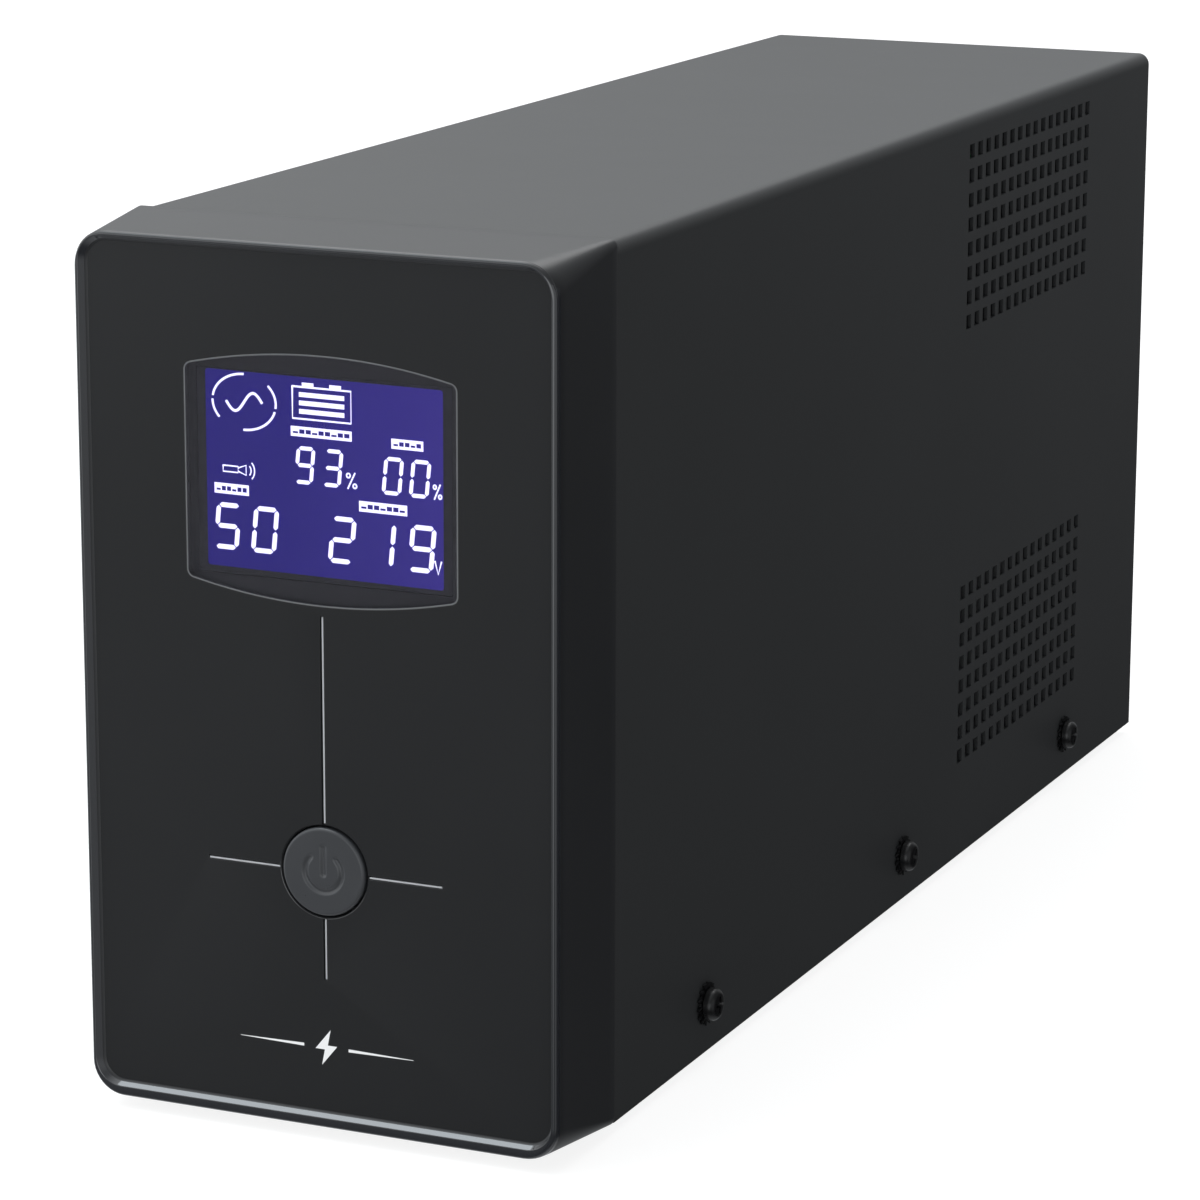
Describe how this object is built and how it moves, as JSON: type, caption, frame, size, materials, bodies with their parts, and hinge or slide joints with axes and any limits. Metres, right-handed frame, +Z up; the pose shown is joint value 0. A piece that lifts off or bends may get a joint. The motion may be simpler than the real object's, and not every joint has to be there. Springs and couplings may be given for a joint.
{
  "type": "uninterruptible power supply",
  "caption": "Narrow tower power backup unit: black steel cover over a base pan, plastic front with display window and round power button, earthed outlets and inlet at the rear.",
  "frame": {"origin": "on the floor, under the middle of the whole object's footprint", "axes": "+Z up, the front with the display faces -Y, +X is the side on the right of the front"},
  "size_m": [0.1014, 0.34, 0.1646],
  "materials": {
    "bezel_black": "fine moulded texture",
    "panel_gloss": "polished",
    "smoked_lens": "polished",
    "button_grey": "satin",
    "lcd": "polished",
    "light_guide": "polished",
    "white_plastic": "moulded",
    "black_plastic": "moulded",
    "circuit_board": "solder mask",
    "ribbon": "flat cable",
    "steel_black": "fine powder coat",
    "steel_zinc": "zinc plated",
    "screw_zinc": "zinc plated",
    "screw_black": "black oxide",
    "foot_rubber": "matt",
    "socket_plastic": "satin",
    "brass": "plated",
    "nickel": "nickel plated",
    "breaker_red": "moulded",
    "battery_grey": "moulded",
    "battery_lid_grey": "moulded",
    "foam": "closed-cell foam",
    "lead_red": "cable sheath",
    "lead_black": "cable sheath",
    "aluminium": "extruded",
    "capacitor_blue": "heat-shrink sleeve",
    "relay_blue": "moulded",
    "lamination": "varnished laminations",
    "bobbin": "moulded",
    "winding": "varnished copper wire under tape"
  },
  "bodies": {
    "case": {"front_bezel": "bezel_black", "front_panel": "panel_gloss", "display_window": "smoked_lens", "lcd_glass": "lcd", "lcd_backlight": "light_guide", "lcd_frame": "white_plastic", "display_board": "circuit_board", "button_switch": "black_plastic", "buzzer": "black_plastic", "ribbon_cable": "ribbon", "cover": "steel_black", "base_pan": "steel_zinc", "front_bulkhead": "steel_zinc", "rear_panel": "steel_black", "cover_screws": "screw_black", "cover_washers": "screw_black", "bezel_screws": "screw_zinc", "bulkhead_screws": "screw_zinc", "rear_panel_screws": "screw_zinc", "feet": "foot_rubber", "socket_upper": "socket_plastic", "socket_lower": "socket_plastic", "socket_contacts": "brass", "earth_clips": "nickel", "mains_inlet": "socket_plastic", "inlet_pins": "nickel", "inlet_screws": "screw_zinc", "breaker_body": "black_plastic", "breaker_nut": "black_plastic", "port_board": "circuit_board", "usb_port": "nickel", "usb_tongue": "white_plastic", "surge_jacks": "black_plastic", "jack_contacts": "brass", "earth_screw": "brass", "battery_case": "battery_grey", "battery_lid": "battery_lid_grey", "battery_terminals": "nickel", "battery_pads": "foam", "battery_bridge": "steel_zinc", "bridge_screws": "screw_zinc", "battery_lead_red": "lead_red", "battery_lead_black": "lead_black", "board_standoffs": "brass", "main_board": "circuit_board", "board_screws": "screw_zinc", "heatsinks": "aluminium", "mosfets": "black_plastic", "capacitors": "capacitor_blue", "relays": "relay_blue", "chips": "black_plastic", "board_connectors": "white_plastic", "transformer_core": "lamination", "transformer_bobbin": "bobbin", "transformer_coil": "winding", "transformer_bracket": "steel_zinc", "transformer_screws": "screw_zinc"},
    "power_button": {"power_button": "button_grey", "switch_plunger": "white_plastic"},
    "breaker_button": {"breaker_button": "breaker_red"}
  },
  "joints": [
    {"name": "power_button_press", "type": "slide", "parent": "case", "child": "power_button", "axis": [0, 1, 0], "range_m": [0, 0.0012], "stiffness_N_per_m": 1500, "springref_m": -0.0004},
    {"name": "breaker_trip", "type": "slide", "parent": "case", "child": "breaker_button", "axis": [0, 1, 0], "range_m": [0, 0.004]}
  ]
}
